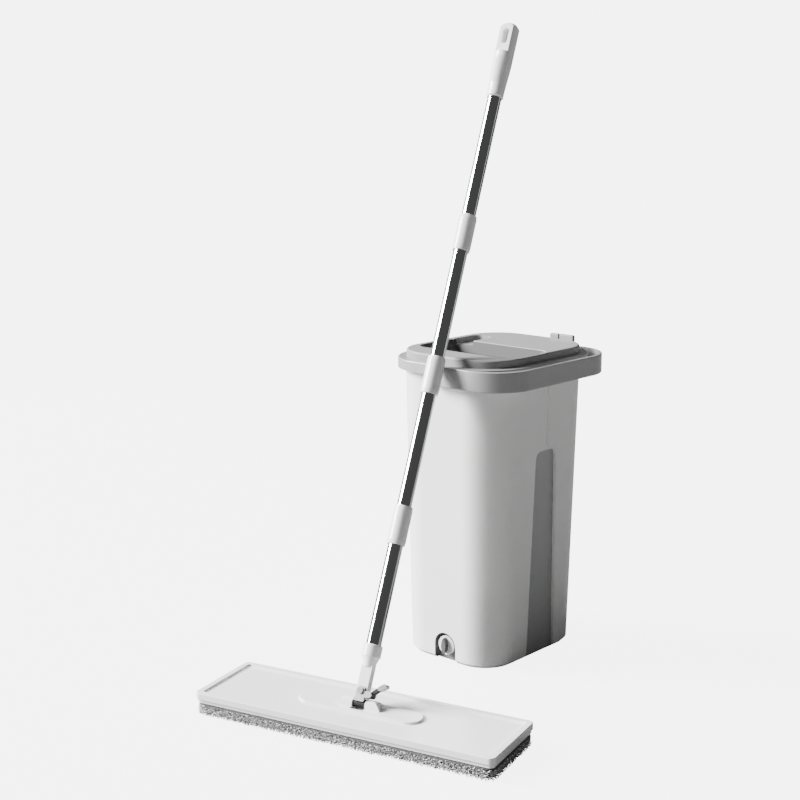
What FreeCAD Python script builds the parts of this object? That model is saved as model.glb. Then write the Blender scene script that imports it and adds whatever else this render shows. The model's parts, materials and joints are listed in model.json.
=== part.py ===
import FreeCAD, Part
import math
import os

# Flat mop leaning on its tall bucket, with the wringer set in the bucket's top.
# Millimetres, +Z up. The origin is the middle of the bucket's base.

# bucket body: a tall tub with rounded corners that widens towards the top
bucket_half_x = 85.0
bucket_half_y = 107.5
bucket_radius = 50.0
bucket_flare = 10.0
bucket_radius_flare = 8.0
bucket_height = 430.0
bucket_wall = 3.0
bucket_floor = 4.0
foot_chamfer = 5.0

# pressed-in panel on the +X side, wider at the bottom, and the crease above it
panel_bottom = (-24.0, 41.0)
panel_top = (-18.0, 29.0)
panel_top_drop = 126.0
panel_corner = 12.0
panel_depth = 5.0
crease_width = 2.0
crease_depth = 1.0

# drain on the -Y side
drain_x = 4.0
drain_z = 23.0
drain_arch_margin = 5.0
drain_recess_depth = 9.0
drain_bore_radius = 9.0
plug_face_margin = 5.0
plug_face_thickness = 3.0
plug_fin_height = 7.0
plug_fin_half_width = 4.0
plug_stem_length = 14.0
plug_fit = 0.5
seal_section = 1.6
seal_gap = 0.1

# rim ring clipped over the top of the wall
ring_overhang = 11.0
ring_wall = 2.5
ring_plate = 2.7
ring_height = 15.0
ring_opening = 4.0
ring_edge_round = 2.0
ring_rise = 2.0
ring_seat_gap = 0.3

# carry handle: a flat band folded down round the +X half of the rim
handle_bow_gap = 11.0
handle_arm_gap = 1.5
handle_radius_extra = 2.0
handle_thickness = 5.0
handle_depth = 28.0
handle_edge_round = 1.5
handle_side_gap = 0.5
pivot_pin_radius = 4.0
pivot_head_radius = 7.0
pivot_head_thickness = 2.0
pivot_head_gap = 0.3
pivot_tab_half_width = 12.0
pivot_tab_depth = 5.5

# wringer insert: raised collar, dished deck and one chute for the mop head
collar_inset = 1.0
collar_height = 11.0
collar_edge_round = 3.0
insert_wall = 2.5
insert_fit = 0.4
spigot_depth = 20.0
chute_side_clearance = 10.0
chute_front_y = -70.0
chute_back_y = 8.0
chute_depth = 143.0
dish_margin_left = 12.0
dish_margin_right = 20.0
dish_margin_y = 6.0
dish_depth = 17.0
dish_corner = 20.0
pocket_x = (-82.0, -48.0)
pocket_y = (2.0, 62.0)
pocket_depth = 8.0
guide_y = -24.0
guide_length = 30.0
guide_thickness = 3.0
guide_height = 90.0
lift_tab_x = (20.0, 60.0)
lift_tab_height = 8.0
lift_tab_thickness = 6.0
lift_tab_slit = 3.0

# squeeze roller and scraper behind the chute's back wall
roller_radius = 12.0
roller_end_gap = 12.0
roller_reach = 4.0
roller_drop = 46.0
roller_groove = 1.2
roller_groove_pitch = 8.0
axle_radius = 3.0
running_gap = 0.05
window_margin = 1.5
bracket_thickness = 3.0
bracket_gap = 3.0
bracket_flange = 10.0
bracket_half_height = 16.0
screw_radius = 1.5
screw_head_radius = 3.0
screw_head_height = 2.0
screw_spacing = 20.0
blade_thickness = 2.0
blade_reach = 5.0
blade_drop = 24.0
blade_fit = 0.2
holder_depth = 6.0
holder_half_height = 4.0
board_thickness = 2.0
board_height = 96.0
board_rib_height = 2.5
board_rib_pitch = 9.0
board_drop = 22.0

# mop head, in its own frame: x along the head, y across it
head_x = 75.0
head_stand_off = 223.0
head_yaw = 14.0
head_length = 428.0
head_width = 124.0
head_corner = 8.0
pad_thickness = 15.5
pad_inset = 1.0
hook_thickness = 1.3
hook_width = 30.0
hook_spread = 30.0
layer_gap = 0.1
tray_thickness = 5.0
tray_inset = 2.0
deck_thickness = 8.5
deck_rim_width = 8.0
deck_recess = 2.5
deck_recess_corner = 3.0
deck_shell = 3.0
plinth_length = 176.0
plinth_width = 36.0
plinth_thickness = 3.0
hinge_pocket_half_width = 12.0

# head hinge: two lugs, a pin along the head, a yoke that swings on it
lug_inner = 9.5
lug_outer = 31.0
lug_radius = 7.0
lug_end_round = 12.0
hinge_rise = 6.0
hinge_pin_radius = 2.5
barrel_radius = 5.5
barrel_side_gap = 0.3
yoke_offset = 16.0
yoke_half_width = 7.0
cheek_gap = 0.3
cheek_thickness = 2.5
tilt_pin_radius = 2.0
tilt_head_margin = 2.0
tilt_head_height = 2.0
tilt_nut_margin = 1.6
tilt_nut_height = 1.9

# lock lever beside the socket
lever_pivot = (12.0, 12.5)
lever_hub_radius = 4.0
lever_half_thickness = 4.3
lever_pin_radius = 1.5
lever_bend = (20.0, 20.0)
lever_end = (30.0, 27.0)
lever_bar = 4.0
lever_pad_length = 7.0
spring_wire = 0.35

# pole socket, steel tubes, joining sleeves and grip, measured along the pole
socket_eye_radius = 7.5
socket_eye_half_thickness = 5.5
socket_neck = 31.0
socket_cone_end = 44.0
socket_end = 60.0
socket_wall = 2.5
socket_shoulder_wall = 1.4
tube_radius = 10.0
tube_wall = 0.8
tube_start = 42.0
sleeve_first = 192.0
sleeve_pitch = 208.0
sleeve_length = 52.0
sleeve_wall = 2.5
sleeve_end_wall = 1.8
sleeve_end_round = 5.0
plug_half_length = 20.0
tube_count = 4
grip_lead = 234.0
grip_length = 116.0
grip_wall_low = 2.0
grip_wall_high = 4.0
grip_flat_wall = 0.5
hole_half_width = 4.5
hole_rise = 82.0
hole_length = 24.0
thumb_panel_rise = 20.0
thumb_panel_length = 42.0
thumb_panel_half_width = 6.0
thumb_panel_depth = 1.2

# where the pole rests on the handle's arm
lean_x = 18.0
lean_gap = 0.5

# values that follow from the ones above
ring_top_z = bucket_height + ring_rise
panel_top_z = bucket_height - panel_top_drop
plug_face_radius = drain_bore_radius + plug_face_margin
drain_arch_radius = plug_face_radius + drain_arch_margin
handle_half_x = bucket_half_x + bucket_flare + ring_overhang + handle_bow_gap + handle_thickness
handle_half_y = bucket_half_y + bucket_flare + ring_overhang + handle_arm_gap + handle_thickness
handle_radius = bucket_radius + bucket_radius_flare + handle_radius_extra
handle_bottom_z = ring_top_z - handle_depth
pivot_z = ring_top_z - handle_depth / 2.0
wall_top_z = ring_top_z - ring_plate - ring_seat_gap
deck_z = ring_top_z + collar_height
chute_half_x = head_width / 2.0 + chute_side_clearance
chute_bottom_z = deck_z - chute_depth
guide_inner_x = chute_half_x - guide_length
roller_half_length = chute_half_x - roller_end_gap
roller_z = deck_z - roller_drop
blade_z = deck_z - blade_drop
head_y = -(handle_half_y + head_stand_off)
hook_z = pad_thickness + layer_gap
tray_z = hook_z + hook_thickness + layer_gap
head_deck_z = tray_z + tray_thickness
head_top_z = head_deck_z + deck_thickness
deck_floor_z = head_top_z - deck_recess
hinge_z = deck_floor_z + hinge_rise
pocket_floor_z = hinge_z - lug_radius - 0.3
cheek_inner = socket_eye_half_thickness + cheek_gap
tilt_head_radius = tilt_pin_radius + tilt_head_margin
tilt_nut_radius = tilt_pin_radius + tilt_nut_margin
socket_radius = tube_radius + socket_wall
socket_shoulder_radius = tube_radius + socket_shoulder_wall
sleeve_radius = tube_radius + sleeve_wall
sleeve_end_radius = tube_radius + sleeve_end_wall
grip_start = sleeve_first + sleeve_pitch * (tube_count - 2) + grip_lead
grip_radius_low = tube_radius + grip_wall_low
grip_radius_high = tube_radius + grip_wall_high
grip_half_thickness = tube_radius + grip_flat_wall
hole_span = (grip_start + hole_rise, grip_start + hole_rise + hole_length)
thumb_panel_span = (grip_start + thumb_panel_rise, grip_start + thumb_panel_rise + thumb_panel_length)
plug_y = -(bucket_half_y + bucket_flare * drain_z / bucket_height)
seal_radius = drain_bore_radius + seal_section * 2.0
seat_y = plug_y + drain_recess_depth - bucket_flare * seal_radius / bucket_height


def vec(x, y, z):
    return FreeCAD.Vector(x, y, z)


def rounded_wire(half_x, half_y, radius, z, centre=(0.0, 0.0)):
    """Closed rounded rectangle at height z."""
    cx, cy = centre
    diag = radius * (1.0 - math.sqrt(0.5))
    corners = [(1, -1), (1, 1), (-1, 1), (-1, -1)]
    edges = []
    previous = None
    first = None
    for sx, sy in corners:
        along_y = vec(cx + sx * half_x, cy + sy * (half_y - radius), z)
        along_x = vec(cx + sx * (half_x - radius), cy + sy * half_y, z)
        middle = vec(cx + sx * (half_x - diag), cy + sy * (half_y - diag), z)
        start, end = (along_x, along_y) if sx * sy < 0 else (along_y, along_x)
        if previous is not None:
            edges.append(Part.LineSegment(previous, start).toShape())
        edges.append(Part.Arc(start, middle, end).toShape())
        previous = end
        first = first or start
    edges.append(Part.LineSegment(previous, first).toShape())
    return Part.Wire(edges)


def rounded_prism(half_x, half_y, radius, z_low, z_high, centre=(0.0, 0.0)):
    face = Part.Face(rounded_wire(half_x, half_y, radius, z_low, centre))
    return face.extrude(vec(0, 0, z_high - z_low))


def block(x_low, x_high, y_low, y_high, z_low, z_high):
    return Part.makeBox(x_high - x_low, y_high - y_low, z_high - z_low, vec(x_low, y_low, z_low))


def rod(radius, length, start, axis):
    return Part.makeCylinder(radius, length, start, axis)


def loft(wires):
    return Part.makeLoft(wires, True, True)


def fused(shapes):
    result = shapes[0]
    for shape in shapes[1:]:
        result = result.fuse(shape)
    return result.removeSplitter()


def polygon_prism(points, direction):
    """Solid made by pushing a closed flat outline along a direction."""
    wire = Part.makePolygon(points + [points[0]])
    return Part.Face(wire).extrude(direction)


def turned(profile):
    """Solid of revolution about Z from (radius, height) points."""
    points = [vec(radius, 0, height) for radius, height in profile]
    face = Part.Face(Part.makePolygon(points + [points[0]]))
    return face.revolve(vec(0, 0, 0), vec(0, 0, 1), 360)


def save(name, shape):
    shape.exportStep("parts/" + name + ".step")
    box = shape.BoundBox
    print(name, len(shape.Solids), "solid", round(shape.Volume), "mm3", shape.isValid(),
          [round(v, 1) for v in (box.XMin, box.XMax, box.YMin, box.YMax, box.ZMin, box.ZMax)])


# bucket

def tub_wire(offset, z):
    share = z / bucket_height
    half_x = bucket_half_x + bucket_flare * share + offset
    half_y = bucket_half_y + bucket_flare * share + offset
    radius = bucket_radius + bucket_radius_flare * share + offset
    return rounded_wire(half_x, half_y, radius, z)


def tub_skin(depth):
    """Layer of the tub's side, from its outer face in to a depth."""
    outer = loft([tub_wire(0.5, 0.0), tub_wire(0.5, bucket_height)])
    return outer.cut(loft([tub_wire(-depth, 0.0), tub_wire(-depth, bucket_height)]))


def rim_prism(offset, z_low, z_high):
    """Prism on the outline of the tub's top, grown by an offset."""
    return rounded_prism(bucket_half_x + bucket_flare + offset, bucket_half_y + bucket_flare + offset,
                         bucket_radius + bucket_radius_flare + offset, z_low, z_high)


def side_panel(margin):
    """Tapered panel outline on the +X side, as a prism that runs out through the wall."""
    reach = bucket_half_x - panel_depth * 4.0
    low = vec(reach, panel_bottom[0] - margin, -1.0)
    low_right = vec(reach, panel_bottom[1] + margin, -1.0)
    top_z = panel_top_z + margin
    right_end = vec(reach, panel_top[1] + margin, top_z - panel_corner)
    left_end = vec(reach, panel_top[0] - margin, top_z - panel_corner)
    diag = panel_corner * (1.0 - math.sqrt(0.5))
    right_arc = Part.Arc(right_end, vec(reach, panel_top[1] + margin - diag, top_z - diag),
                         vec(reach, panel_top[1] + margin - panel_corner, top_z))
    left_arc = Part.Arc(vec(reach, panel_top[0] - margin + panel_corner, top_z),
                        vec(reach, panel_top[0] - margin + diag, top_z - diag), left_end)
    wire = Part.Wire([Part.LineSegment(low, low_right).toShape(),
                      Part.LineSegment(low_right, right_end).toShape(), right_arc.toShape(),
                      Part.LineSegment(right_arc.EndPoint, left_arc.StartPoint).toShape(),
                      left_arc.toShape(), Part.LineSegment(left_end, low).toShape()])
    return Part.Face(wire).extrude(vec(bucket_half_x, 0, 0))


def drain_arch(margin):
    """Arched recess on the -Y side, open at the bottom, as a prism through the wall."""
    radius = drain_arch_radius + margin
    start = vec(drain_x, -(bucket_half_y + bucket_flare * 2.0), drain_z)
    depth = bucket_flare * 2.0 + drain_recess_depth * 3.0
    arch = rod(radius, depth, start, vec(0, 1, 0))
    foot = block(drain_x - radius, drain_x + radius, start.y, start.y + depth, -1.0, drain_z)
    return arch.fuse(foot)


def make_bucket_shell():
    outer = fused([loft([tub_wire(-foot_chamfer, 0.0), tub_wire(0.0, foot_chamfer)]),
                   loft([tub_wire(0.0, foot_chamfer), tub_wire(0.0, wall_top_z)])])
    inner = loft([tub_wire(-bucket_wall, bucket_floor), tub_wire(-bucket_wall, wall_top_z + 1.0)])
    shell = outer.cut(inner)
    panel_backing = side_panel(bucket_wall).common(tub_skin(panel_depth + bucket_wall)).common(outer)
    drain_skin = tub_skin(drain_recess_depth + bucket_wall)
    drain_backing = drain_arch(bucket_wall).common(drain_skin).common(outer)
    shell = fused([shell, panel_backing, drain_backing])
    shell = shell.cut(side_panel(0.0).common(tub_skin(panel_depth)))
    shell = shell.cut(drain_arch(0.0).common(tub_skin(drain_recess_depth)))
    middle = (panel_top[0] + panel_top[1]) / 2.0
    crease = block(0.0, bucket_half_x * 2.0, middle - crease_width / 2.0, middle + crease_width / 2.0,
                   panel_top_z, bucket_height)
    shell = shell.cut(crease.common(tub_skin(crease_depth)))
    bore = rod(drain_bore_radius, bucket_half_y, vec(drain_x, plug_y - 2.0, drain_z), vec(0, 1, 0))
    return shell.cut(bore)


def make_drain_plug():
    face_y = seat_y - seal_section * 2.0 - plug_face_thickness
    face = rod(plug_face_radius, plug_face_thickness, vec(drain_x, face_y, drain_z), vec(0, 1, 0))
    stem_start = vec(drain_x, face_y + plug_face_thickness, drain_z)
    stem = rod(drain_bore_radius - plug_fit, plug_stem_length, stem_start, vec(0, 1, 0))
    # lens-shaped grip fin: where two large discs overlap
    half_height = plug_face_radius - 2.0
    lens_radius = (half_height ** 2 + plug_fin_half_width ** 2) / (2.0 * plug_fin_half_width)
    fin_y = face_y - plug_fin_height
    shift = lens_radius - plug_fin_half_width
    left = rod(lens_radius, plug_fin_height + 1.0, vec(drain_x - shift, fin_y, drain_z), vec(0, 1, 0))
    right = rod(lens_radius, plug_fin_height + 1.0, vec(drain_x + shift, fin_y, drain_z), vec(0, 1, 0))
    return fused([face, stem, left.common(right)])


def make_drain_seal():
    start = vec(drain_x, seat_y - seal_section * 2.0 + seal_gap, drain_z)
    outer = rod(seal_radius, (seal_section - seal_gap) * 2.0, start, vec(0, 1, 0))
    return outer.cut(rod(drain_bore_radius, seal_section * 4.0, start - vec(0, 1, 0), vec(0, 1, 0)))


def make_rim_ring():
    top = rim_prism(ring_overhang, ring_top_z - ring_height, ring_top_z)
    top_edges = [edge for edge in top.Edges if edge.BoundBox.ZMin > ring_top_z - 0.01]
    top = top.makeFillet(ring_edge_round, top_edges)
    skirt_inside = rim_prism(ring_overhang - ring_wall,
                             ring_top_z - ring_height - 1.0, ring_top_z - ring_plate)
    ring = top.cut(skirt_inside)
    face_y = handle_half_y - handle_thickness - handle_side_gap
    for side in (-1, 1):
        low_y, high_y = sorted((side * face_y, side * (face_y - pivot_tab_depth)))
        ring = ring.fuse(block(-pivot_tab_half_width, pivot_tab_half_width, low_y, high_y,
                               handle_bottom_z, ring_top_z - ring_edge_round))
    ring = ring.cut(rim_prism(-ring_opening, ring_top_z - 40.0, ring_top_z + 1.0))
    bore = rod(pivot_pin_radius, handle_half_y * 3.0, vec(0, -handle_half_y * 1.5, pivot_z), vec(0, 1, 0))
    return ring.cut(bore).removeSplitter()


def make_pivot_pins():
    pins = []
    start_y = handle_half_y - handle_thickness - handle_side_gap - pivot_tab_depth
    for side in (-1, 1):
        head_y_start = handle_half_y + pivot_head_gap
        shaft = rod(pivot_pin_radius, head_y_start - start_y, vec(0, side * start_y, pivot_z),
                    vec(0, side, 0))
        head_start = vec(0, side * head_y_start, pivot_z)
        pins.append(shaft.fuse(rod(pivot_head_radius, pivot_head_thickness, head_start, vec(0, side, 0))))
    return Part.makeCompound(pins)


def make_carry_handle():
    outer = rounded_prism(handle_half_x, handle_half_y, handle_radius, handle_bottom_z, ring_top_z)
    outer = outer.makeFillet(handle_edge_round, [e for e in outer.Edges if e.BoundBox.ZLength < 0.01])
    inner = rounded_prism(handle_half_x - handle_thickness, handle_half_y - handle_thickness,
                          handle_radius - handle_thickness, handle_bottom_z - 1.0, ring_top_z + 1.0)
    band = outer.cut(inner)
    end_disc = rod(handle_depth / 2.0, handle_half_y * 3.0, vec(0, -handle_half_y * 1.5, pivot_z),
                   vec(0, 1, 0))
    keep = block(0.0, handle_half_x * 2.0, -handle_half_y * 1.5, handle_half_y * 1.5,
                 handle_bottom_z - 1.0, ring_top_z + 1.0).fuse(end_disc)
    bore = rod(pivot_pin_radius + running_gap, handle_half_y * 3.0,
               vec(0, -handle_half_y * 1.5, pivot_z), vec(0, 1, 0))
    return band.common(keep).cut(bore).removeSplitter()


# wringer

def chute_prism(margin, z_low, z_high):
    return block(-chute_half_x - margin, chute_half_x + margin, chute_front_y - margin, chute_back_y + margin,
                 z_low, z_high)


def dish_loft(margin):
    """Funnel from the dished deck down to the chute, grown by a margin."""
    low_z = deck_z - dish_depth
    top_half_x = chute_half_x + (dish_margin_left + dish_margin_right) / 2.0 + margin
    top_centre = ((dish_margin_right - dish_margin_left) / 2.0, (chute_front_y + chute_back_y) / 2.0)
    half_y = (chute_back_y - chute_front_y) / 2.0
    top = rounded_wire(top_half_x, half_y + dish_margin_y + margin, dish_corner + margin, deck_z, top_centre)
    low = rounded_wire(chute_half_x + margin, half_y + margin, 3.0 + margin, low_z, (0.0, top_centre[1]))
    return loft([low, top])


def make_wringer_housing():
    collar = rim_prism(-collar_inset, ring_top_z, deck_z)
    collar_edges = [edge for edge in collar.Edges if edge.BoundBox.ZMin > deck_z - 0.01]
    collar = collar.makeFillet(collar_edge_round, collar_edges)
    spigot = rim_prism(-ring_opening - insert_fit, ring_top_z - spigot_depth, ring_top_z)
    cavity = rim_prism(-ring_opening - insert_fit - insert_wall, ring_top_z - spigot_depth - 1.0,
                       deck_z - insert_wall)
    housing = collar.fuse(spigot).cut(cavity)
    pocket_half = ((pocket_x[1] - pocket_x[0]) / 2.0, (pocket_y[1] - pocket_y[0]) / 2.0)
    pocket_centre = ((pocket_x[0] + pocket_x[1]) / 2.0, (pocket_y[0] + pocket_y[1]) / 2.0)
    pocket_tray = rounded_prism(pocket_half[0] + insert_wall, pocket_half[1] + insert_wall, 14.0,
                                deck_z - pocket_depth - insert_wall, deck_z - insert_wall, pocket_centre)
    housing = fused([housing, dish_loft(insert_wall), pocket_tray,
                     chute_prism(insert_wall, chute_bottom_z, deck_z - dish_depth)])
    housing = housing.cut(chute_prism(0.0, chute_bottom_z - 1.0, deck_z - dish_depth + 0.1))
    housing = housing.cut(dish_loft(0.0))
    housing = housing.cut(rounded_prism(pocket_half[0], pocket_half[1], 12.0, deck_z - pocket_depth,
                                        deck_z + 1.0, pocket_centre))
    guide_top = deck_z - dish_depth - 2.0
    for side in (-1, 1):
        x_low, x_high = sorted((side * guide_inner_x, side * (chute_half_x + 1.0)))
        guide = block(x_low, x_high, guide_y - guide_thickness / 2.0, guide_y + guide_thickness / 2.0,
                      guide_top - guide_height, guide_top)
        housing = housing.fuse(guide)
    window_half = math.sqrt(roller_radius ** 2 - (roller_radius - roller_reach - insert_wall) ** 2)
    window_half = window_half + window_margin
    window_x = roller_half_length + window_margin
    housing = housing.cut(block(-window_x, window_x, chute_back_y - 0.5, chute_back_y + insert_wall + 0.5,
                                roller_z - window_half, roller_z + window_half))
    slot_half = blade_thickness / 2.0 + blade_fit
    housing = housing.cut(block(-roller_half_length - blade_fit, roller_half_length + blade_fit,
                                chute_back_y - 0.5, chute_back_y + insert_wall + 0.5,
                                blade_z - slot_half, blade_z + slot_half))
    for x, z in screw_places():
        start = vec(x, chute_back_y - insert_wall, z)
        housing = housing.cut(rod(screw_radius, insert_wall * 3.0, start, vec(0, 1, 0)))
    tab_back = bucket_half_y + bucket_flare - collar_inset - collar_edge_round
    tab = block(lift_tab_x[0], lift_tab_x[1], tab_back - lift_tab_thickness, tab_back,
                deck_z - 1.0, deck_z + lift_tab_height)
    tab = tab.makeFillet(2.0, [e for e in tab.Edges if e.BoundBox.ZMin > deck_z + lift_tab_height - 0.01])
    slit_x = lift_tab_x[0] + (lift_tab_x[1] - lift_tab_x[0]) * 0.35
    slit = block(slit_x, slit_x + lift_tab_slit, tab_back - lift_tab_thickness - 1.0, tab_back + 1.0,
                 deck_z + 0.5, deck_z + lift_tab_height + 1.0)
    return fused([housing, tab]).cut(slit)


def roller_y():
    return chute_back_y + roller_radius - roller_reach


def bracket_inner_x():
    return roller_half_length + bracket_gap


def screw_places():
    x = bracket_inner_x() + bracket_thickness + (bracket_flange - bracket_thickness) / 2.0
    lifts = (-screw_spacing / 2.0, screw_spacing / 2.0)
    return [(side * x, roller_z + lift) for side in (-1, 1) for lift in lifts]


def make_roller():
    start = vec(-roller_half_length, roller_y(), roller_z)
    roller = rod(roller_radius, roller_half_length * 2.0, start, vec(1, 0, 0))
    count = int(roller_half_length * 2.0 / roller_groove_pitch)
    for index in range(1, count):
        x = -roller_half_length + index * roller_groove_pitch
        groove = rod(roller_radius + 1.0, roller_groove * 2.0, vec(x, roller_y(), roller_z), vec(1, 0, 0))
        core = rod(roller_radius - roller_groove, roller_groove * 2.0, vec(x, roller_y(), roller_z),
                   vec(1, 0, 0))
        roller = roller.cut(groove.cut(core))
    bore_length = roller_half_length * 2.0 + 2.0
    return roller.cut(rod(axle_radius + running_gap, bore_length, start - vec(1, 0, 0), vec(1, 0, 0)))


def make_roller_axle():
    half = bracket_inner_x() + bracket_thickness + 2.0
    return rod(axle_radius, half * 2.0, vec(-half, roller_y(), roller_z), vec(1, 0, 0))


def make_roller_brackets():
    plates = []
    wall_y = chute_back_y + insert_wall
    back_y = roller_y() + axle_radius + 5.0
    for side in (-1, 1):
        x0 = side * bracket_inner_x()
        x1 = side * (bracket_inner_x() + bracket_thickness)
        x2 = side * (bracket_inner_x() + bracket_flange)
        plate = block(min(x0, x1), max(x0, x1), wall_y, back_y,
                      roller_z - bracket_half_height, roller_z + bracket_half_height)
        flange = block(min(x0, x2), max(x0, x2), wall_y, wall_y + bracket_thickness,
                       roller_z - bracket_half_height, roller_z + bracket_half_height)
        plates.append(fused([plate, flange]))
    brackets = Part.makeCompound(plates)
    holes = [rod(screw_radius, 20.0, vec(x, wall_y - 5.0, z), vec(0, 1, 0)) for x, z in screw_places()]
    holes.append(rod(axle_radius, 400.0, vec(-200.0, roller_y(), roller_z), vec(1, 0, 0)))
    for hole in holes:
        brackets = brackets.cut(hole)
    return brackets


def make_bracket_screws():
    face_y = chute_back_y + insert_wall + bracket_thickness
    screws = []
    for x, z in screw_places():
        shank = rod(screw_radius, bracket_thickness + insert_wall - 0.5, vec(x, face_y, z), vec(0, -1, 0))
        screws.append(shank.fuse(rod(screw_head_radius, screw_head_height, vec(x, face_y, z), vec(0, 1, 0))))
    return Part.makeCompound(screws)


def make_scraper_holder():
    wall_y = chute_back_y + insert_wall
    half = roller_half_length + 3.0
    holder = block(-half, half, wall_y, wall_y + holder_depth,
                   blade_z - holder_half_height, blade_z + holder_half_height)
    slot_half = blade_thickness / 2.0
    slot = block(-roller_half_length, roller_half_length, wall_y - 1.0, wall_y + holder_depth - 2.0,
                 blade_z - slot_half, blade_z + slot_half)
    return holder.cut(slot)


def make_scraper_blade():
    tip_y = chute_back_y - blade_reach
    root_y = chute_back_y + insert_wall + holder_depth - 2.0
    half = blade_thickness / 2.0
    points = [vec(-roller_half_length, root_y, blade_z - half),
              vec(-roller_half_length, root_y, blade_z + half),
              vec(-roller_half_length, chute_back_y, blade_z + half), vec(-roller_half_length, tip_y,
                                                                          blade_z),
              vec(-roller_half_length, chute_back_y, blade_z - half)]
    return polygon_prism(points, vec(roller_half_length * 2.0, 0, 0))


def make_wash_board():
    top_z = deck_z - board_drop
    half = roller_half_length
    face_y = chute_front_y + board_thickness
    board = block(-half, half, chute_front_y, face_y, top_z - board_height, top_z)
    count = int(board_height / board_rib_pitch)
    ribs = [board]
    for index in range(count):
        z = top_z - board_rib_pitch * (index + 0.8)
        points = [vec(-half, face_y, z - 3.0), vec(-half, face_y + board_rib_height, z),
                  vec(-half, face_y, z + 3.0)]
        ribs.append(polygon_prism(points, vec(half * 2.0, 0, 0)))
    return fused(ribs)


# mop head, in the head's own frame

def head_prism(inset, radius, z_low, z_high):
    return rounded_prism(head_length / 2.0 - inset, head_width / 2.0 - inset, radius, z_low, z_high)


def hinge_pocket():
    """Hollow between the lugs that the yoke's foot swings in."""
    return block(-lug_inner, lug_inner, -hinge_pocket_half_width, hinge_pocket_half_width,
                 pocket_floor_z, hinge_z * 3.0)


def make_pad():
    pad = head_prism(pad_inset, head_corner, 0.0, pad_thickness)
    return pad.makeFillet(4.0, [e for e in pad.Edges if e.BoundBox.ZLength < 0.01])


def make_hook_strips():
    half_length = head_length / 2.0 - 14.0
    return Part.makeCompound([block(-half_length, half_length, side * hook_spread - hook_width / 2.0,
                                    side * hook_spread + hook_width / 2.0, hook_z, hook_z + hook_thickness)
                              for side in (-1, 1)])


def make_base_tray():
    return head_prism(tray_inset, head_corner - tray_inset, tray_z, head_deck_z)


def make_head_deck():
    deck = head_prism(0.0, head_corner, head_deck_z, head_top_z)
    deck = deck.makeFillet(1.2, [e for e in deck.Edges if e.BoundBox.ZMin > head_top_z - 0.01])
    deck = deck.cut(head_prism(deck_rim_width, deck_recess_corner, deck_floor_z, head_top_z + 1.0))
    deck = deck.cut(head_prism(deck_shell, head_corner - deck_shell, head_deck_z - 1.0,
                               pocket_floor_z - 1.2))
    return deck.cut(hinge_pocket())


def make_hinge_mount():
    radius = plinth_width / 2.0 - 0.01
    plinth = rounded_prism(plinth_length / 2.0, plinth_width / 2.0, radius, deck_floor_z,
                           deck_floor_z + plinth_thickness)
    top_z = deck_floor_z + plinth_thickness
    plinth = plinth.makeFillet(1.2, [e for e in plinth.Edges if e.BoundBox.ZMin > top_z - 0.01])
    parts = [plinth]
    peak = hinge_z + lug_radius
    for side in (-1, 1):
        barrel = rod(lug_radius, lug_outer - lug_inner, vec(side * lug_inner, 0, hinge_z), vec(side, 0, 0))
        foot = block(min(side * lug_inner, side * lug_outer), max(side * lug_inner, side * lug_outer),
                     -lug_radius, lug_radius, deck_floor_z, hinge_z)
        start = vec(side * lug_inner, -lug_radius * 2.0, deck_floor_z)
        shoulder = vec(side * (lug_outer - lug_end_round), -lug_radius * 2.0, peak)
        low_end = vec(side * lug_outer, -lug_radius * 2.0, peak - lug_end_round)
        diag = lug_end_round * (1.0 - math.sqrt(0.5))
        arc = Part.Arc(shoulder, vec(side * (lug_outer - diag), -lug_radius * 2.0, peak - diag), low_end)
        corner = vec(side * lug_outer, -lug_radius * 2.0, deck_floor_z)
        top_in = vec(side * lug_inner, -lug_radius * 2.0, peak)
        wire = Part.Wire([Part.LineSegment(start, top_in).toShape(),
                          Part.LineSegment(top_in, shoulder).toShape(),
                          arc.toShape(), Part.LineSegment(low_end, corner).toShape(),
                          Part.LineSegment(corner, start).toShape()])
        outline = Part.Face(wire).extrude(vec(0, lug_radius * 4.0, 0))
        parts.append(barrel.fuse(foot).common(outline))
    mount = fused(parts).cut(hinge_pocket())
    return mount.cut(rod(hinge_pin_radius, lug_outer * 3.0, vec(-lug_outer * 1.5, 0, hinge_z), vec(1, 0, 0)))


def make_hinge_pin():
    half = lug_outer - 1.0
    return rod(hinge_pin_radius, half * 2.0, vec(-half, 0, hinge_z), vec(1, 0, 0))


# yoke, origin on the hinge pin, z towards the pole

def make_hinge_barrel():
    half = lug_inner - barrel_side_gap
    barrel = rod(barrel_radius, half * 2.0, vec(-half, 0, 0), vec(1, 0, 0))
    return barrel.cut(rod(hinge_pin_radius + running_gap, half * 4.0, vec(-half * 2.0, 0, 0), vec(1, 0, 0)))


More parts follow.
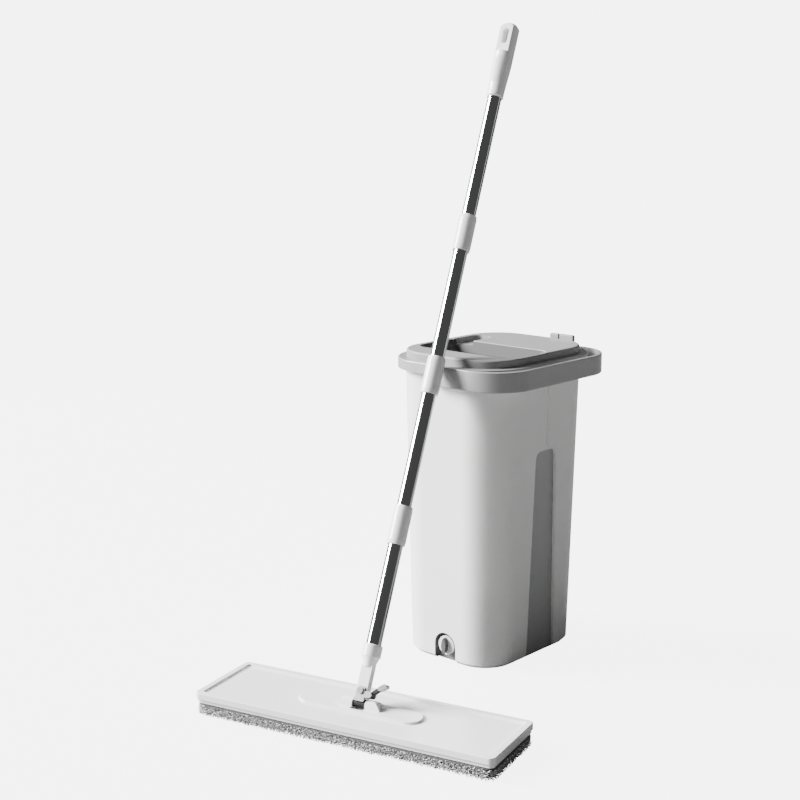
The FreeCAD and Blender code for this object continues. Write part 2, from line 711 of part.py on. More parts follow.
def make_yoke():
    outer = cheek_inner + cheek_thickness
    web_top = yoke_offset - socket_eye_radius - 0.8
    parts = [block(-yoke_half_width, yoke_half_width, -outer, outer, barrel_radius / 2.0, web_top)]
    for side in (-1, 1):
        start_y = side * cheek_inner
        tilt_disc = rod(tilt_head_radius + 2.0, cheek_thickness, vec(0, start_y, yoke_offset),
                        vec(0, side, 0))
        lever_disc = rod(lever_hub_radius, cheek_thickness,
                         vec(lever_pivot[0], start_y, lever_pivot[1]), vec(0, side, 0))
        far_y = side * outer
        web = block(-yoke_half_width + 1.0, yoke_half_width, min(start_y, far_y), max(start_y, far_y),
                    web_top - 1.0, yoke_offset)
        bridge = block(yoke_half_width - 1.0, lever_pivot[0], min(start_y, far_y), max(start_y, far_y),
                       lever_pivot[1] - lever_hub_radius, lever_pivot[1] + lever_hub_radius)
        parts += [tilt_disc, lever_disc, web, bridge]
    yoke = fused(parts)
    yoke = yoke.cut(rod(barrel_radius, 60.0, vec(-30.0, 0, 0), vec(1, 0, 0)))
    yoke = yoke.cut(rod(tilt_pin_radius, 60.0, vec(0, -30.0, yoke_offset), vec(0, 1, 0)))
    return yoke.cut(rod(lever_pin_radius, 60.0, vec(lever_pivot[0], -30.0, lever_pivot[1]), vec(0, 1, 0)))


def make_tilt_screw():
    face = cheek_inner + cheek_thickness
    shank = rod(tilt_pin_radius, face * 2.0 + 2.0, vec(0, -face, yoke_offset), vec(0, 1, 0))
    head = rod(tilt_head_radius, tilt_head_height, vec(0, -face, yoke_offset), vec(0, -1, 0))
    slot = block(-tilt_head_radius, tilt_head_radius, -face - tilt_head_height - 1.0,
                 -face - tilt_head_height + 0.8,
                 yoke_offset - 0.5, yoke_offset + 0.5)
    return shank.fuse(head).cut(slot)


def make_tilt_nut():
    face = cheek_inner + cheek_thickness
    angles = [math.radians(60 * k) for k in range(6)]
    points = [vec(tilt_nut_radius * math.cos(angle), face, yoke_offset + tilt_nut_radius * math.sin(angle))
              for angle in angles]
    nut = polygon_prism(points, vec(0, tilt_nut_height, 0))
    return nut.cut(rod(tilt_pin_radius, 20.0, vec(0, 0, yoke_offset), vec(0, 1, 0)))


def make_lever_pin():
    face = cheek_inner + cheek_thickness
    return rod(lever_pin_radius, face * 2.0, vec(lever_pivot[0], -face, lever_pivot[1]), vec(0, 1, 0))


def lever_bar_solid(start, end, half_thickness, width):
    """Flat bar with rounded ends between two points in the x-z plane."""
    dx, dz = end[0] - start[0], end[1] - start[1]
    length = math.hypot(dx, dz)
    nx, nz = -dz / length * width / 2.0, dx / length * width / 2.0
    y = -half_thickness
    corners = [vec(start[0] + nx, y, start[1] + nz), vec(end[0] + nx, y, end[1] + nz),
               vec(end[0] - nx, y, end[1] - nz), vec(start[0] - nx, y, start[1] - nz)]
    bar = polygon_prism(corners, vec(0, half_thickness * 2.0, 0))
    caps = [rod(width / 2.0, half_thickness * 2.0, vec(p[0], y, p[1]), vec(0, 1, 0)) for p in (start, end)]
    return bar.fuse(caps[0]).fuse(caps[1])


def pad_start():
    dx, dz = lever_end[0] - lever_bend[0], lever_end[1] - lever_bend[1]
    length = math.hypot(dx, dz)
    share = (length - lever_pad_length) / length
    return (lever_bend[0] + dx * share, lever_bend[1] + dz * share)


def make_lever_pad():
    cap = lever_bar_solid(pad_start(), lever_end, lever_half_thickness + 1.0, lever_bar + 1.6)
    core = lever_bar_solid(lever_bend, lever_end, lever_half_thickness, lever_bar)
    return cap.cut(core)


def make_lock_lever():
    y = -lever_half_thickness
    hub = rod(lever_hub_radius, lever_half_thickness * 2.0, vec(lever_pivot[0], y, lever_pivot[1]),
              vec(0, 1, 0))
    lever = fused([hub, lever_bar_solid(lever_pivot, lever_bend, lever_half_thickness, lever_bar),
                   lever_bar_solid(lever_bend, lever_end, lever_half_thickness, lever_bar)])
    lever = lever.cut(rod(lever_pin_radius + running_gap, 30.0,
                          vec(lever_pivot[0], -15.0, lever_pivot[1]), vec(0, 1, 0)))
    return lever.cut(rod(lever_hub_radius - 0.8, 3.4, vec(lever_pivot[0], -1.7, lever_pivot[1]),
                         vec(0, 1, 0)))


def make_lever_spring():
    coil_radius = lever_pin_radius + running_gap + spring_wire + 0.2
    turns = [Part.makeTorus(coil_radius, spring_wire, vec(lever_pivot[0], step * 0.9, lever_pivot[1]),
                            vec(0, 1, 0))
             for step in (-1, 0, 1)]
    return Part.makeCompound(turns)


# pole, origin on the tilt screw, z along the pole

def make_pole_socket():
    half = socket_eye_half_thickness
    eye = rod(socket_eye_radius, half * 2.0, vec(0, -half, 0), vec(0, 1, 0))
    neck = block(-socket_eye_radius, socket_eye_radius, -half, half, 0.0, socket_neck + 4.0)
    cone = turned([(0.0, socket_neck), (socket_eye_radius, socket_neck),
                   (socket_shoulder_radius, socket_cone_end),
                   (socket_radius, socket_cone_end), (socket_radius, socket_end - 1.5),
                   (socket_radius - 1.0, socket_end), (0.0, socket_end)])
    socket = fused([eye, neck, cone])
    socket = socket.cut(rod(tube_radius, socket_end, vec(0, 0, tube_start), vec(0, 0, 1)))
    return socket.cut(rod(tilt_pin_radius + running_gap, 60.0, vec(0, -30.0, 0), vec(0, 1, 0)))


def sleeve_starts():
    return [sleeve_first + sleeve_pitch * index for index in range(tube_count - 1)]


def tube_spans():
    joins = [start + sleeve_length / 2.0 for start in sleeve_starts()]
    starts = [tube_start] + [join + 0.5 for join in joins]
    ends = [join - 0.5 for join in joins] + [grip_start + grip_length * 0.6]
    return list(zip(starts, ends))


def make_tube(start, end):
    tube = rod(tube_radius, end - start, vec(0, 0, start), vec(0, 0, 1))
    return tube.cut(rod(tube_radius - tube_wall, end - start + 2.0, vec(0, 0, start - 1.0), vec(0, 0, 1)))


def make_sleeve(start):
    end = start + sleeve_length
    return turned([(tube_radius, start), (sleeve_end_radius, start),
                   (sleeve_radius, start + sleeve_end_round),
                   (sleeve_radius, end - sleeve_end_round), (sleeve_end_radius, end), (tube_radius, end)])


def make_thread_plugs():
    plugs = []
    for start in sleeve_starts():
        middle = start + sleeve_length / 2.0
        plugs.append(rod(tube_radius - tube_wall, plug_half_length * 2.0,
                         vec(0, 0, middle - plug_half_length), vec(0, 0, 1)))
    return Part.makeCompound(plugs)


def make_grip():
    end = grip_start + grip_length
    grip = turned([(0.0, grip_start), (grip_radius_low - 1.5, grip_start),
                   (grip_radius_low, grip_start + 2.0),
                   (grip_radius_low, grip_start + 12.0), (grip_radius_high, grip_start + grip_length * 0.45),
                   (grip_radius_high, end - 6.0), (grip_radius_high - 4.0,
                                                   end - 1.0), (grip_radius_high - 7.0, end),
                   (0.0, end)])
    flat = block(-40.0, 40.0, -grip_half_thickness, grip_half_thickness, grip_start + grip_length * 0.6,
                 end + 1.0)
    round_part = block(-40.0, 40.0, -40.0, 40.0, grip_start - 1.0, grip_start + grip_length * 0.6)
    grip = grip.common(flat.fuse(round_part))
    low, high = hole_span[0] + hole_half_width, hole_span[1] - hole_half_width
    hole = lever_bar_solid((0.0, low), (0.0, high), 40.0, hole_half_width * 2.0)
    grip = grip.cut(hole)
    grip = grip.cut(rod(tube_radius, grip_length * 0.6 + 1.0, vec(0, 0, grip_start - 1.0), vec(0, 0, 1)))
    return grip.cut(thumb_panel_prism(0.0))


def thumb_panel_prism(inset):
    """Oval patch at the front of the grip, down to the patch's depth."""
    low, high = thumb_panel_span
    half = thumb_panel_half_width
    prism = lever_bar_solid((0.0, low + half), (0.0, high - half), 40.0, (half - inset) * 2.0)
    front = block(-40.0, 40.0, -40.0, -(grip_radius_low - thumb_panel_depth + inset), low - 5.0, high + 5.0)
    return prism.common(front)


def make_grip_panel():
    body = turned([(0.0, grip_start), (grip_radius_low, grip_start), (grip_radius_low, grip_start + 12.0),
                   (grip_radius_high, grip_start + grip_length * 0.45), (grip_radius_high,
                                                                         grip_start + grip_length),
                   (0.0, grip_start + grip_length)])
    return thumb_panel_prism(0.1).common(body)


# how the mop stands against the bucket

def solve_lean():
    """Swing and tilt of the pole so that its middle sleeve rests on the handle's arm."""
    yaw = math.radians(head_yaw)
    along = vec(math.cos(yaw), math.sin(yaw), 0)
    across = vec(-math.sin(yaw), math.cos(yaw), 0)
    hinge = vec(head_x, head_y, hinge_z)
    swing = math.radians(28.0)
    tilt = 0.0
    for _ in range(20):
        yoke_up = across * math.sin(swing) + vec(0, 0, math.cos(swing))
        pole_up = yoke_up * math.cos(tilt) + along * math.sin(tilt)
        pivot = hinge + yoke_up * yoke_offset
        reach = (sleeve_radius + lean_gap) * math.hypot(pole_up.y, pole_up.z) / pole_up.z
        contact = vec(lean_x, -handle_half_y - reach, ring_top_z)
        pole_up = (contact - pivot).normalize()
        tilt = math.asin(pole_up.dot(along))
        swing = math.atan2(pole_up.dot(across), pole_up.z)
    return swing, tilt


swing_angle, tilt_angle = solve_lean()
head_place = FreeCAD.Placement(vec(head_x, head_y, 0), FreeCAD.Rotation(vec(0, 0, 1), head_yaw))
yoke_turn = FreeCAD.Rotation(vec(1, 0, 0), -math.degrees(swing_angle))
yoke_place = head_place.multiply(FreeCAD.Placement(vec(0, 0, hinge_z), yoke_turn))
pole_turn = FreeCAD.Rotation(vec(0, 1, 0), math.degrees(tilt_angle))
pole_place = yoke_place.multiply(FreeCAD.Placement(vec(0, 0, yoke_offset), pole_turn))


def placed(shape, placement):
    moved = shape.copy()
    moved.Placement = placement.multiply(moved.Placement)
    return moved


def build():
    os.makedirs("parts", exist_ok=True)
    save("bucket_shell", make_bucket_shell())
    save("drain_plug", make_drain_plug())
    save("drain_seal", make_drain_seal())
    save("rim_ring", make_rim_ring())
    save("handle_pivot_pins", make_pivot_pins())
    save("carry_handle", make_carry_handle())
    save("wringer_housing", make_wringer_housing())
    save("squeeze_roller", make_roller())
    save("roller_axle", make_roller_axle())
    save("roller_brackets", make_roller_brackets())
    save("bracket_screws", make_bracket_screws())
    save("scraper_holder", make_scraper_holder())
    save("scraper_blade", make_scraper_blade())
    save("wash_board", make_wash_board())
    head_parts = {"microfibre_pad": make_pad(), "hook_strips": make_hook_strips(),
                  "base_tray": make_base_tray(),
                  "head_deck": make_head_deck(), "hinge_mount": make_hinge_mount(),
                  "hinge_pin": make_hinge_pin()}
    yoke_parts = {"hinge_barrel": make_hinge_barrel(), "yoke": make_yoke(), "tilt_screw": make_tilt_screw(),
                  "tilt_nut": make_tilt_nut(), "lever_pin": make_lever_pin(), "lock_lever": make_lock_lever(),
                  "lever_pad": make_lever_pad(), "lever_spring": make_lever_spring()}
    pole_parts = {"pole_socket": make_pole_socket(), "thread_plugs": make_thread_plugs(), "grip": make_grip(),
                  "grip_panel": make_grip_panel()}
    for index, (start, end) in enumerate(tube_spans()):
        pole_parts["tube_%d" % (index + 1)] = make_tube(start, end)
    for index, start in enumerate(sleeve_starts()):
        pole_parts["joining_sleeve_%d" % (index + 1)] = make_sleeve(start)
    for parts, placement in ((head_parts, head_place), (yoke_parts, yoke_place), (pole_parts, pole_place)):
        for name, shape in parts.items():
            save(name, placed(shape, placement))
    lever_point = yoke_place.multVec(vec(lever_pivot[0], 0, lever_pivot[1]))
    print("hinge point", head_place.multVec(vec(0, 0, hinge_z)), "axis",
          head_place.Rotation.multVec(vec(1, 0, 0)))
    print("tilt point", pole_place.Base, "axis", yoke_place.Rotation.multVec(vec(0, 1, 0)))
    print("lever point", lever_point)
    print("swing", math.degrees(swing_angle), "tilt", math.degrees(tilt_angle))
    print("pole direction", pole_place.Rotation.multVec(vec(0, 0, 1)))
    print("hang hole", pole_place.multVec(vec(0, 0, sum(hole_span) / 2.0)))


build()
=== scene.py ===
import json
import math
import random

import bpy
from mathutils import Euler, Matrix, Vector


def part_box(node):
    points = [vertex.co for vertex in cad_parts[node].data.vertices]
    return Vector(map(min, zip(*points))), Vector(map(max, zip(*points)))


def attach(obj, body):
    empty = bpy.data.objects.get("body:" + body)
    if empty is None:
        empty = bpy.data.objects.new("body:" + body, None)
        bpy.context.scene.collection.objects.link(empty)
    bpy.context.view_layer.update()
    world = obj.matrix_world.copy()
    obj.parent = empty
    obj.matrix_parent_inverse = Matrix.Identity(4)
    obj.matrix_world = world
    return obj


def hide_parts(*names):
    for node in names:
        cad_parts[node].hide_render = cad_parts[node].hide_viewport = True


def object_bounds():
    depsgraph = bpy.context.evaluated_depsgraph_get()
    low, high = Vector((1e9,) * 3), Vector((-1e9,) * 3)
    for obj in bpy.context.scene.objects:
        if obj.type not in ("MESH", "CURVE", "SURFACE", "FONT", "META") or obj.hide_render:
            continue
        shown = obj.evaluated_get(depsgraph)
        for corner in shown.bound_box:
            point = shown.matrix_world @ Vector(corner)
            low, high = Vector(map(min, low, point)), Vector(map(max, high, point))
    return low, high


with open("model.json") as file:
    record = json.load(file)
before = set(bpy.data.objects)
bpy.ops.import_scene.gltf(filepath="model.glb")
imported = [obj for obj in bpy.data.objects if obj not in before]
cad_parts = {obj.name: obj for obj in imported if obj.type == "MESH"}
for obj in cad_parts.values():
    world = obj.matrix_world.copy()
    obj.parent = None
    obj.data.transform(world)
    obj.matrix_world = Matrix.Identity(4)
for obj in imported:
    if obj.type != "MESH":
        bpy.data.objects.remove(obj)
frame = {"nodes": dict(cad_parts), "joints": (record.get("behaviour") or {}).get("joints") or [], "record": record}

cadBox = [list(corner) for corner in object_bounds()]
nodes = frame["nodes"]
joints = {joint["name"]: joint for joint in frame["joints"]}
bpy.ops.object.select_all(action="DESELECT")
print("frame loaded with", len(nodes), "nodes")


def hexToLinear(text):
    # sRGB hex to the linear colour that a shader wants
    values = [int(text[i:i + 2], 16) / 255.0 for i in (1, 3, 5)]
    return [v / 12.92 if v <= 0.04045 else ((v + 0.055) / 1.055) ** 2.4 for v in values] + [1.0]


def addNode(tree, kind, settings=None, inputs=None):
    # one node, its settings, and its sockets set or linked
    node = tree.nodes.new(kind)
    for name, value in (settings or {}).items():
        setattr(node, name, value)
    for name, value in (inputs or {}).items():
        if isinstance(value, bpy.types.NodeSocket):
            tree.links.new(value, node.inputs[name])
        else:
            node.inputs[name].default_value = value
    return node


def startMaterial(name, shader):
    material = bpy.data.materials.new(name)
    material.use_nodes = True
    tree = material.node_tree
    tree.nodes.clear()
    surface = addNode(tree, "ShaderNodeBsdfPrincipled", None, shader)
    addNode(tree, "ShaderNodeOutputMaterial", None, {"Surface": surface.outputs["BSDF"]})
    place = addNode(tree, "ShaderNodeTexCoord").outputs["Object"]
    return material, tree, surface, place


def perMm(size):
    # texture scale whose feature is that many millimetres across
    return 1000.0 / size


def mixTwo(tree, factor, first, second):
    mix = addNode(tree, "ShaderNodeMix", {"data_type": "RGBA"}, {"Factor": factor})
    mix.inputs[6].default_value = hexToLinear(first)
    mix.inputs[7].default_value = hexToLinear(second)
    return mix.outputs[2]


def spread(tree, value, low, high):
    return addNode(tree, "ShaderNodeMapRange", None,
                   {"Value": value, "To Min": low, "To Max": high}).outputs["Result"]


def mouldedPlastic(name, look, insets=()):
    # injection-moulded plastic: an even body colour, faint flow clouding, fine spark texture,
    # and slightly uneven gloss where the tool was polished. An inset is a region in another grey
    material, tree, surface, place = startMaterial(name, {"IOR": look["ior"],
                                                          "Specular IOR Level": look["specular"]})
    cloud = addNode(tree, "ShaderNodeTexNoise", None,
                    {"Vector": place, "Scale": perMm(look["cloudMm"]), "Detail": 3.0})
    grain = addNode(tree, "ShaderNodeTexNoise", None,
                    {"Vector": place, "Scale": perMm(look["grainMm"]), "Detail": 2.0})
    rub = addNode(tree, "ShaderNodeTexNoise", None,
                  {"Vector": place, "Scale": perMm(look["rubMm"]), "Detail": 6.0})
    colour = mixTwo(tree, cloud.outputs["Fac"], look["colour"], look["shade"])
    for inset in insets:
        mix = addNode(tree, "ShaderNodeMix", {"data_type": "RGBA"}, {"Factor": inset["mask"](tree, place)})
        tree.links.new(colour, mix.inputs[6])
        mix.inputs[7].default_value = hexToLinear(inset["colour"])
        colour = mix.outputs[2]
    tree.links.new(colour, surface.inputs["Base Color"])
    rough = spread(tree, rub.outputs["Fac"], look["roughLow"], look["roughHigh"])
    for inset in insets:
        if "rough" in inset:
            rough = addNode(tree, "ShaderNodeMix", None, {0: inset["mask"](tree, place), 2: rough,
                                                          3: inset["rough"]}).outputs[0]
    tree.links.new(rough, surface.inputs["Roughness"])
    bump = addNode(tree, "ShaderNodeBump", None, {"Height": grain.outputs["Fac"], "Strength": look["bump"],
                                                  "Distance": 0.0004})
    tree.links.new(bump.outputs["Normal"], surface.inputs["Normal"])
    return material


whitePolypropylene = {"colour": "#F1F1F0", "shade": "#E9E9E8", "cloudMm": 90.0, "grainMm": 0.9, "rubMm": 28.0,
                      "roughLow": 0.30, "roughHigh": 0.40, "bump": 0.10, "ior": 1.49, "specular": 0.5}
greyPolypropylene = {"colour": "#9A9A9B", "shade": "#8F8F90", "cloudMm": 60.0, "grainMm": 0.8, "rubMm": 20.0,
                     "roughLow": 0.20, "roughHigh": 0.30, "bump": 0.08, "ior": 1.49, "specular": 0.6}
whiteAbs = {"colour": "#F6F6F6", "shade": "#F0F0F0", "cloudMm": 50.0, "grainMm": 0.7, "rubMm": 16.0,
            "roughLow": 0.16, "roughHigh": 0.26, "bump": 0.05, "ior": 1.53, "specular": 0.5}
blackNylon = {"colour": "#0C0C0C", "shade": "#131313", "cloudMm": 8.0, "grainMm": 0.5, "rubMm": 6.0,
              "roughLow": 0.50, "roughHigh": 0.64, "bump": 0.20, "ior": 1.53, "specular": 0.25}
softElastomer = {"colour": "#6A6A6B", "shade": "#5E5E5F", "cloudMm": 12.0, "grainMm": 0.6, "rubMm": 8.0,
                 "roughLow": 0.55, "roughHigh": 0.70, "bump": 0.25, "ior": 1.50, "specular": 0.4}
rollerFoam = {"colour": "#C9C9C9", "shade": "#BDBDBD", "cloudMm": 10.0, "grainMm": 0.8, "rubMm": 9.0,
              "roughLow": 0.50, "roughHigh": 0.65, "bump": 0.35, "ior": 1.50, "specular": 0.4}
gripElastomer = {"colour": "#D8D8D8", "shade": "#CFCFCF", "cloudMm": 10.0, "grainMm": 0.6, "rubMm": 8.0,
                 "roughLow": 0.50, "roughHigh": 0.62, "bump": 0.25, "ior": 1.50, "specular": 0.4}
greyInsert = {"colour": "#929293", "shade": "#888889", "cloudMm": 60.0, "grainMm": 0.8, "rubMm": 20.0,
              "roughLow": 0.40, "roughHigh": 0.52, "bump": 0.10, "ior": 1.49, "specular": 0.3}


def near(tree, value, middle, half):
    # 1 where a value lies within half of the middle
    return addNode(tree, "ShaderNodeMath", {"operation": "COMPARE"},
                   {0: value, 1: middle, 2: half}).outputs[0]


def allOf(tree, masks):
    # 1 where every mask is 1
    result = masks[0]
    for mask in masks[1:]:
        result = addNode(tree, "ShaderNodeMath", {"operation": "MULTIPLY"}, {0: result, 1: mask}).outputs[0]
    return result


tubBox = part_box("bucket_shell")
tub = {"flare": 0.010, "height": tubBox[1].z,
       "panelColour": "#A9A9AA", "panelDepth": 0.0058, "panelBand": 0.0016, "panelMiddle": 0.0085,
       "panelHalf": 0.0355,
       # dark grey painted shade inside the drain recess
       "drainShadeColour": "#6E6E6F", "drainDepth": 0.0055, "drainBand": 0.0050, "drainX": 0.004,
       "drainHalf": 0.0196, "drainTop": 0.0426}


def depthBelow(tree, z, across, sign, topHalf):
    # how far a point lies inside the tub's sloping outer face
    slope = tub["flare"] / tub["height"]
    out = addNode(tree, "ShaderNodeMath", {"operation": "MULTIPLY_ADD"},
                  {0: z, 1: slope, 2: topHalf - tub["flare"]}).outputs[0]
    return addNode(tree, "ShaderNodeMath", {"operation": "MULTIPLY_ADD"},
                   {0: across, 1: -sign, 2: out}).outputs[0]


def panelMask(tree, place):
    # floor of the panel pressed into the tub's side
    axes = addNode(tree, "ShaderNodeSeparateXYZ", None, {"Vector": place}).outputs
    depth = depthBelow(tree, axes["Z"], axes["X"], 1.0, tubBox[1].x)
    return allOf(tree, [near(tree, depth, tub["panelDepth"], tub["panelBand"]),
                        near(tree, axes["Y"], tub["panelMiddle"], tub["panelHalf"])])


def drainRecessShadeMask(tree, place):
    # painted shade in the arched recess round the drain plug: its walls and floor drawn dark grey
    axes = addNode(tree, "ShaderNodeSeparateXYZ", None, {"Vector": place}).outputs
    depth = depthBelow(tree, axes["Z"], axes["Y"], -1.0, tubBox[1].y)
    return allOf(tree, [near(tree, depth, tub["drainDepth"], tub["drainBand"]),
                        near(tree, axes["X"], tub["drainX"], tub["drainHalf"]),
                        near(tree, axes["Z"], tub["drainTop"] / 2, tub["drainTop"] / 2)])


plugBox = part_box("drain_plug")
# dark grey painted shade for the plug's grip fin
finShade = {"colour": "#4E4E4F", "depth": 0.003, "half": 0.0036}


def finShadeMask(tree, place):
    # painted shade: the plug's grip fin, in front of its face, drawn dark grey
    axes = addNode(tree, "ShaderNodeSeparateXYZ", None, {"Vector": place}).outputs
    return near(tree, axes["Y"], plugBox[0].y + finShade["depth"], finShade["half"])


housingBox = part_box("wringer_housing")
# dark grey painted shade on the chute walls, which are also left matt
chuteShade = {"colour": "#585859", "rough": 0.85, "middleY": -0.031, "halfY": 0.0465, "halfX": 0.0893,
         "tabHeight": 0.008, "middleDrop": 0.0755, "halfZ": 0.0745}


def chuteShadeMask(tree, place):
    # walls of the chute, left matt and drawn darker than the deck round them as painted shade
    axes = addNode(tree, "ShaderNodeSeparateXYZ", None, {"Vector": place}).outputs
    deck = housingBox[1].z - chuteShade["tabHeight"]
    return allOf(tree, [near(tree, axes["Y"], chuteShade["middleY"], chuteShade["halfY"]),
                        near(tree, axes["X"], 0.0, chuteShade["halfX"]),
                        near(tree, axes["Z"], deck - chuteShade["middleDrop"], chuteShade["halfZ"])])


def lineUp(direction):
    # turn that brings a direction onto Z, for a pattern that runs along it
    return direction.rotation_difference(Vector((0, 0, 1))).to_euler()


def drawnSteelTube(name, look, direction):
    # drawn and polished stainless tube: mirror bright, with faint drawing lines along its length
    material, tree, surface, place = startMaterial(name, {"Metallic": 1.0,
                                                          "Base Color": hexToLinear(look["colour"])})
    along = addNode(tree, "ShaderNodeMapping", None, {"Vector": place, "Rotation": lineUp(direction)})
    squeezed = addNode(tree, "ShaderNodeMapping", None, {"Vector": along.outputs["Vector"],
                                                         "Scale": (1.0, 1.0, look["lineShare"])})
    lines = addNode(tree, "ShaderNodeTexNoise", None, {"Vector": squeezed.outputs["Vector"],
                                                       "Scale": perMm(look["lineMm"]), "Detail": 4.0})
    smear = addNode(tree, "ShaderNodeTexNoise", None,
                    {"Vector": place, "Scale": perMm(look["smearMm"]), "Detail": 4.0})
    both = addNode(tree, "ShaderNodeMath", {"operation": "MULTIPLY"},
                   {0: lines.outputs["Fac"], 1: smear.outputs["Fac"]})
    rough = spread(tree, both.outputs["Value"], look["roughLow"], look["roughHigh"])
    tree.links.new(rough, surface.inputs["Roughness"])
    bump = addNode(tree, "ShaderNodeBump", None, {"Height": lines.outputs["Fac"], "Strength": look["bump"],
                                                  "Distance": 0.0002})
    tree.links.new(bump.outputs["Normal"], surface.inputs["Normal"])
    return material


def blastedMetal(name, look):
    # plated fastener or die casting: dull bright metal with a fine blasted grain
    material, tree, surface, place = startMaterial(name, {"Metallic": 1.0})
    grain = addNode(tree, "ShaderNodeTexNoise", None,
                    {"Vector": place, "Scale": perMm(look["grainMm"]), "Detail": 3.0})
    stain = addNode(tree, "ShaderNodeTexNoise", None,
                    {"Vector": place, "Scale": perMm(look["stainMm"]), "Detail": 3.0})
    colour = mixTwo(tree, stain.outputs["Fac"], look["colour"], look["shade"])
    tree.links.new(colour, surface.inputs["Base Color"])
    rough = spread(tree, grain.outputs["Fac"], look["roughLow"], look["roughHigh"])
    tree.links.new(rough, surface.inputs["Roughness"])
    bump = addNode(tree, "ShaderNodeBump", None,
                   {"Height": grain.outputs["Fac"], "Strength": look["bump"], "Distance": 0.0002})
    tree.links.new(bump.outputs["Normal"], surface.inputs["Normal"])
    return material


stainlessTube = {"colour": "#C9CACB", "lineMm": 0.8, "lineShare": 0.01, "smearMm": 25.0,
                 "roughLow": 0.06, "roughHigh": 0.20, "bump": 0.04}
zincPlate = {"colour": "#C4C6C8", "shade": "#AEB0B3", "grainMm": 0.4, "stainMm": 4.0,
             "roughLow": 0.25, "roughHigh": 0.4, "bump": 0.2}
dieCasting = {"colour": "#B4B4B4", "shade": "#A2A2A2", "grainMm": 0.5, "stainMm": 5.0,
              "roughLow": 0.32, "roughHigh": 0.48, "bump": 0.2}


def loopedMicrofibre(name, look):
    # looped microfibre yarn: matt, with painted shade in random patches standing for the dark between the loops,
    # each strand's filaments catch light at its edge
    material, tree, surface, place = startMaterial(name, {"Roughness": 0.92, "Sheen Weight": 0.35,
                                                          "Sheen Roughness": 0.5, "Specular IOR Level": 0.2})
    loopShadeNoise = addNode(tree, "ShaderNodeTexNoise", None,
                   {"Vector": place, "Scale": perMm(look["tuftMm"]), "Detail": 2.0})
    strand = addNode(tree, "ShaderNodeTexNoise", None,
                     {"Vector": place, "Scale": perMm(look["strandMm"]), "Detail": 2.0})
    loopShade = addNode(tree, "ShaderNodeMapRange", None,
                       {"Value": loopShadeNoise.outputs["Fac"], "From Min": look["tuftLow"],
                        "From Max": look["tuftHigh"]})
    colour = mixTwo(tree, loopShade.outputs["Result"], look["colour"], look["shade"])
    tree.links.new(colour, surface.inputs["Base Color"])
    bump = addNode(tree, "ShaderNodeBump", None,
                   {"Height": strand.outputs["Fac"], "Strength": look["bump"], "Distance": 0.0006})
    tree.links.new(bump.outputs["Normal"], surface.inputs["Normal"])
    return material


# each yarn look's shade colour is the painted shade between the loops
greyYarn = {"colour": "#F0F0F0", "shade": "#7C7C7C", "tuftMm": 2.6, "strandMm": 0.8,
            "tuftLow": 0.36, "tuftHigh": 0.62, "bump": 0.6}
bindingTape = {"colour": "#5A5A5A", "shade": "#3C3C3C", "tuftMm": 1.6, "strandMm": 0.6,
               "tuftLow": 0.36, "tuftHigh": 0.62, "bump": 0.6}
hookTape = {"colour": "#3A3A3A", "shade": "#222222", "tuftMm": 1.2, "strandMm": 0.5,
            "tuftLow": 0.36, "tuftHigh": 0.62, "bump": 0.6}

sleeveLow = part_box("joining_sleeve_1")
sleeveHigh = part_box("joining_sleeve_3")
poleDirection = ((sleeveHigh[0] + sleeveHigh[1]) - (sleeveLow[0] + sleeveLow[1])).normalized()

finishes = {
    "white_plastic": mouldedPlastic("moulded white polypropylene", whitePolypropylene),
    "grey_plastic": mouldedPlastic("moulded grey polypropylene", greyPolypropylene),
    "white_abs": mouldedPlastic("polished white ABS", whiteAbs),
    "black_nylon": mouldedPlastic("moulded black nylon", blackNylon),
    "soft_rubber": mouldedPlastic("moulded soft elastomer", softElastomer),
    "roller_foam": mouldedPlastic("moulded grey sponge", rollerFoam),
    "grey_grip": mouldedPlastic("overmoulded grip elastomer", gripElastomer),
    "stainless_steel": drawnSteelTube("drawn stainless steel", stainlessTube, poleDirection),
    "steel_fastener": blastedMetal("zinc-plated steel", zincPlate),
    "pale_metal": blastedMetal("die-cast zinc alloy", dieCasting),
    "microfibre": loopedMicrofibre("looped grey microfibre", greyYarn),
    "hook_tape": loopedMicrofibre("woven hook tape", hookTape),
}
edgeTape = loopedMicrofibre("woven edge binding", bindingTape)


def dress(piece, material):
    piece.data.materials.clear()
    piece.data.materials.append(material)


for entry in frame["record"]["subparts"]:
    dress(nodes[entry["node"]], finishes[entry["material_slot"]])
plugShadeInsets = [{"mask": finShadeMask, "colour": finShade["colour"]}]
chuteShadeInsets = [{"mask": chuteShadeMask, "colour": chuteShade["colour"], "rough": chuteShade["rough"]}]
# the drain inset is painted shade in the recess round the plug
tubInsets = [{"mask": panelMask, "colour": tub["panelColour"]},
             {"mask": drainRecessShadeMask, "colour": tub["drainShadeColour"]}]
# the plug's material carries painted shade on its grip fin
dress(nodes["drain_plug"],
      mouldedPlastic("moulded white plug polypropylene", whitePolypropylene, plugShadeInsets))
# the insert's material carries painted shade on the chute walls
dress(nodes["wringer_housing"],
      mouldedPlastic("moulded grey insert polypropylene", greyInsert, chuteShadeInsets))
dress(nodes["bucket_shell"],
      mouldedPlastic("moulded white tub polypropylene", whitePolypropylene, tubInsets))


def onlyActive(piece):
    bpy.ops.object.select_all(action="DESELECT")
    piece.select_set(True)
    bpy.context.view_layer.objects.active = piece


def applyModifier(piece, kind, settings):
    onlyActive(piece)
    modifier = piece.modifiers.new(kind, kind)
    for name, value in settings.items():
        setattr(modifier, name, value)
    bpy.ops.object.modifier_apply(modifier=modifier.name)


def settle(piece, matrix):
    # puts a finished piece's place into its mesh
    piece.data.transform(matrix @ piece.matrix_world)
    piece.matrix_world = Matrix.Identity(4)


